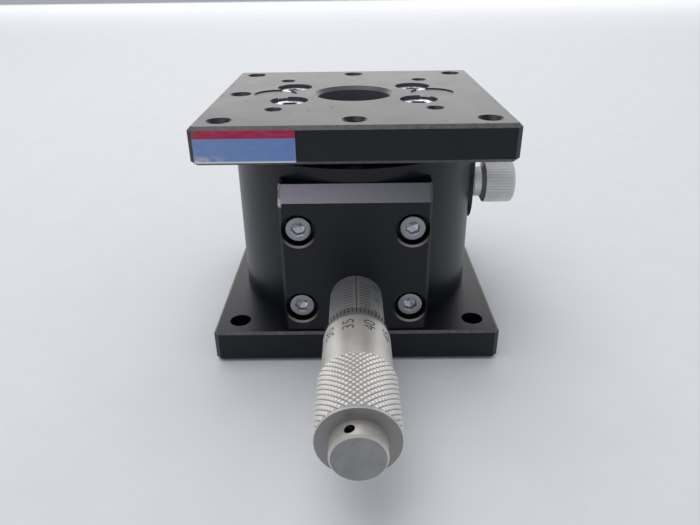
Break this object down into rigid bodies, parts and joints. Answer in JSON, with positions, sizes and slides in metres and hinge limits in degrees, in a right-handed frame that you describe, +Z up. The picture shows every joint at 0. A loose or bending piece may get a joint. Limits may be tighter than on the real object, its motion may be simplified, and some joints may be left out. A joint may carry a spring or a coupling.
{
  "type": "linear translation stage",
  "caption": "Vertical linear stage: a square drilled table on a round black housing, raised by a horizontal micrometer through a wedge, with a side clamp knob.",
  "frame": {"origin": "middle of the base's underside", "axes": "+Z up along the table's travel, -Y out along the micrometer, +X out along the clamp knob"},
  "size_m": [0.067, 0.1031, 0.0504],
  "materials": {
    "black_anodised": "black anodised, fine satin",
    "clear_anodised": "clear anodised, satin",
    "black_steel": "black, semi-matt",
    "bright_screw": "bright stainless steel",
    "dark_screw": "black oxide steel",
    "satin_chrome": "satin chrome plated",
    "hard_steel": "ground hardened steel",
    "spring_steel": "drawn spring wire",
    "brass": "machined",
    "felt": "dense felt",
    "foil": "thin printed foil, bare of words"
  },
  "bodies": {
    "stage_body": {"base_plate": "black_anodised", "housing": "black_anodised", "base_screws": "dark_screw", "micrometer_bracket": "black_anodised", "bracket_screws": "bright_screw", "micrometer_sleeve": "satin_chrome", "sleeve_nut": "hard_steel", "adjusting_nut": "satin_chrome", "wedge_rail_left": "hard_steel", "wedge_rail_right": "hard_steel", "rail_screws": "dark_screw", "guide_race": "hard_steel", "dust_seal": "felt", "guide_key": "hard_steel", "key_screws": "dark_screw", "return_springs": "spring_steel", "spring_posts": "hard_steel", "clamp_bushing": "brass"},
    "table": {"table_plate": "black_anodised", "table_screws": "bright_screw", "plunger": "clear_anodised", "roller_fork": "hard_steel", "fork_screws": "dark_screw", "roller_pin": "hard_steel", "spring_hangers": "hard_steel", "front_label": "foil", "clamp_plate": "black_steel", "clamp_plate_screws": "dark_screw"},
    "roller": {"cam_roller": "hard_steel"},
    "wedge": {"cam_wedge": "hard_steel", "wedge_anvil": "hard_steel"},
    "thimble_and_spindle": {"thimble": "satin_chrome", "spindle": "hard_steel", "thimble_cap": "satin_chrome"},
    "ball_guide": {"ball_cage": "brass", "guide_balls": "hard_steel"},
    "clamp_washer": {"clamp_washer": "hard_steel"},
    "clamp_knob": {"clamp_knob": "clear_anodised", "clamp_screw": "hard_steel"}
  },
  "joints": [
    {"name": "table_lift", "type": "slide", "parent": "stage_body", "child": "table", "axis": [0, 0, 1], "range_m": [-0.00131, 0.00519], "deforming": ["return_springs"]},
    {"name": "wedge_feed", "type": "slide", "parent": "stage_body", "child": "wedge", "axis": [0, 1, 0], "range_m": [-0.00264, 0.01038]},
    {"name": "thimble_turn", "type": "hinge", "parent": "wedge", "child": "thimble_and_spindle", "pos_m": [0, -0.05, 0.0147], "axis": [0, 1, 0], "range_deg": [-1895, 7468]},
    {"name": "ball_guide_rise", "type": "slide", "parent": "stage_body", "child": "ball_guide", "axis": [0, 0, 1], "range_m": [-0.00066, 0.0026]},
    {"name": "roller_spin", "type": "hinge", "parent": "table", "child": "roller", "pos_m": [0, 0, 0.01852], "axis": [1, 0, 0], "range_deg": [-42.3, 166.3]},
    {"name": "clamp_advance", "type": "slide", "parent": "stage_body", "child": "clamp_washer", "axis": [1, 0, 0], "range_m": [0, 0.0007]},
    {"name": "clamp_turn", "type": "hinge", "parent": "clamp_washer", "child": "clamp_knob", "pos_m": [0.034, 0, 0.0297], "axis": [1, 0, 0], "range_deg": [-0.5, 360.5]}
  ],
  "couplings": [
    {"joint": "thimble_turn", "follows": "table_lift", "rad_per_m": 25133},
    {"joint": "wedge_feed", "follows": "table_lift", "ratio": 2},
    {"joint": "ball_guide_rise", "follows": "table_lift", "ratio": 0.5},
    {"joint": "roller_spin", "follows": "table_lift", "rad_per_m": 559.02},
    {"joint": "clamp_turn", "follows": "clamp_advance", "rad_per_m": 8976}
  ]
}
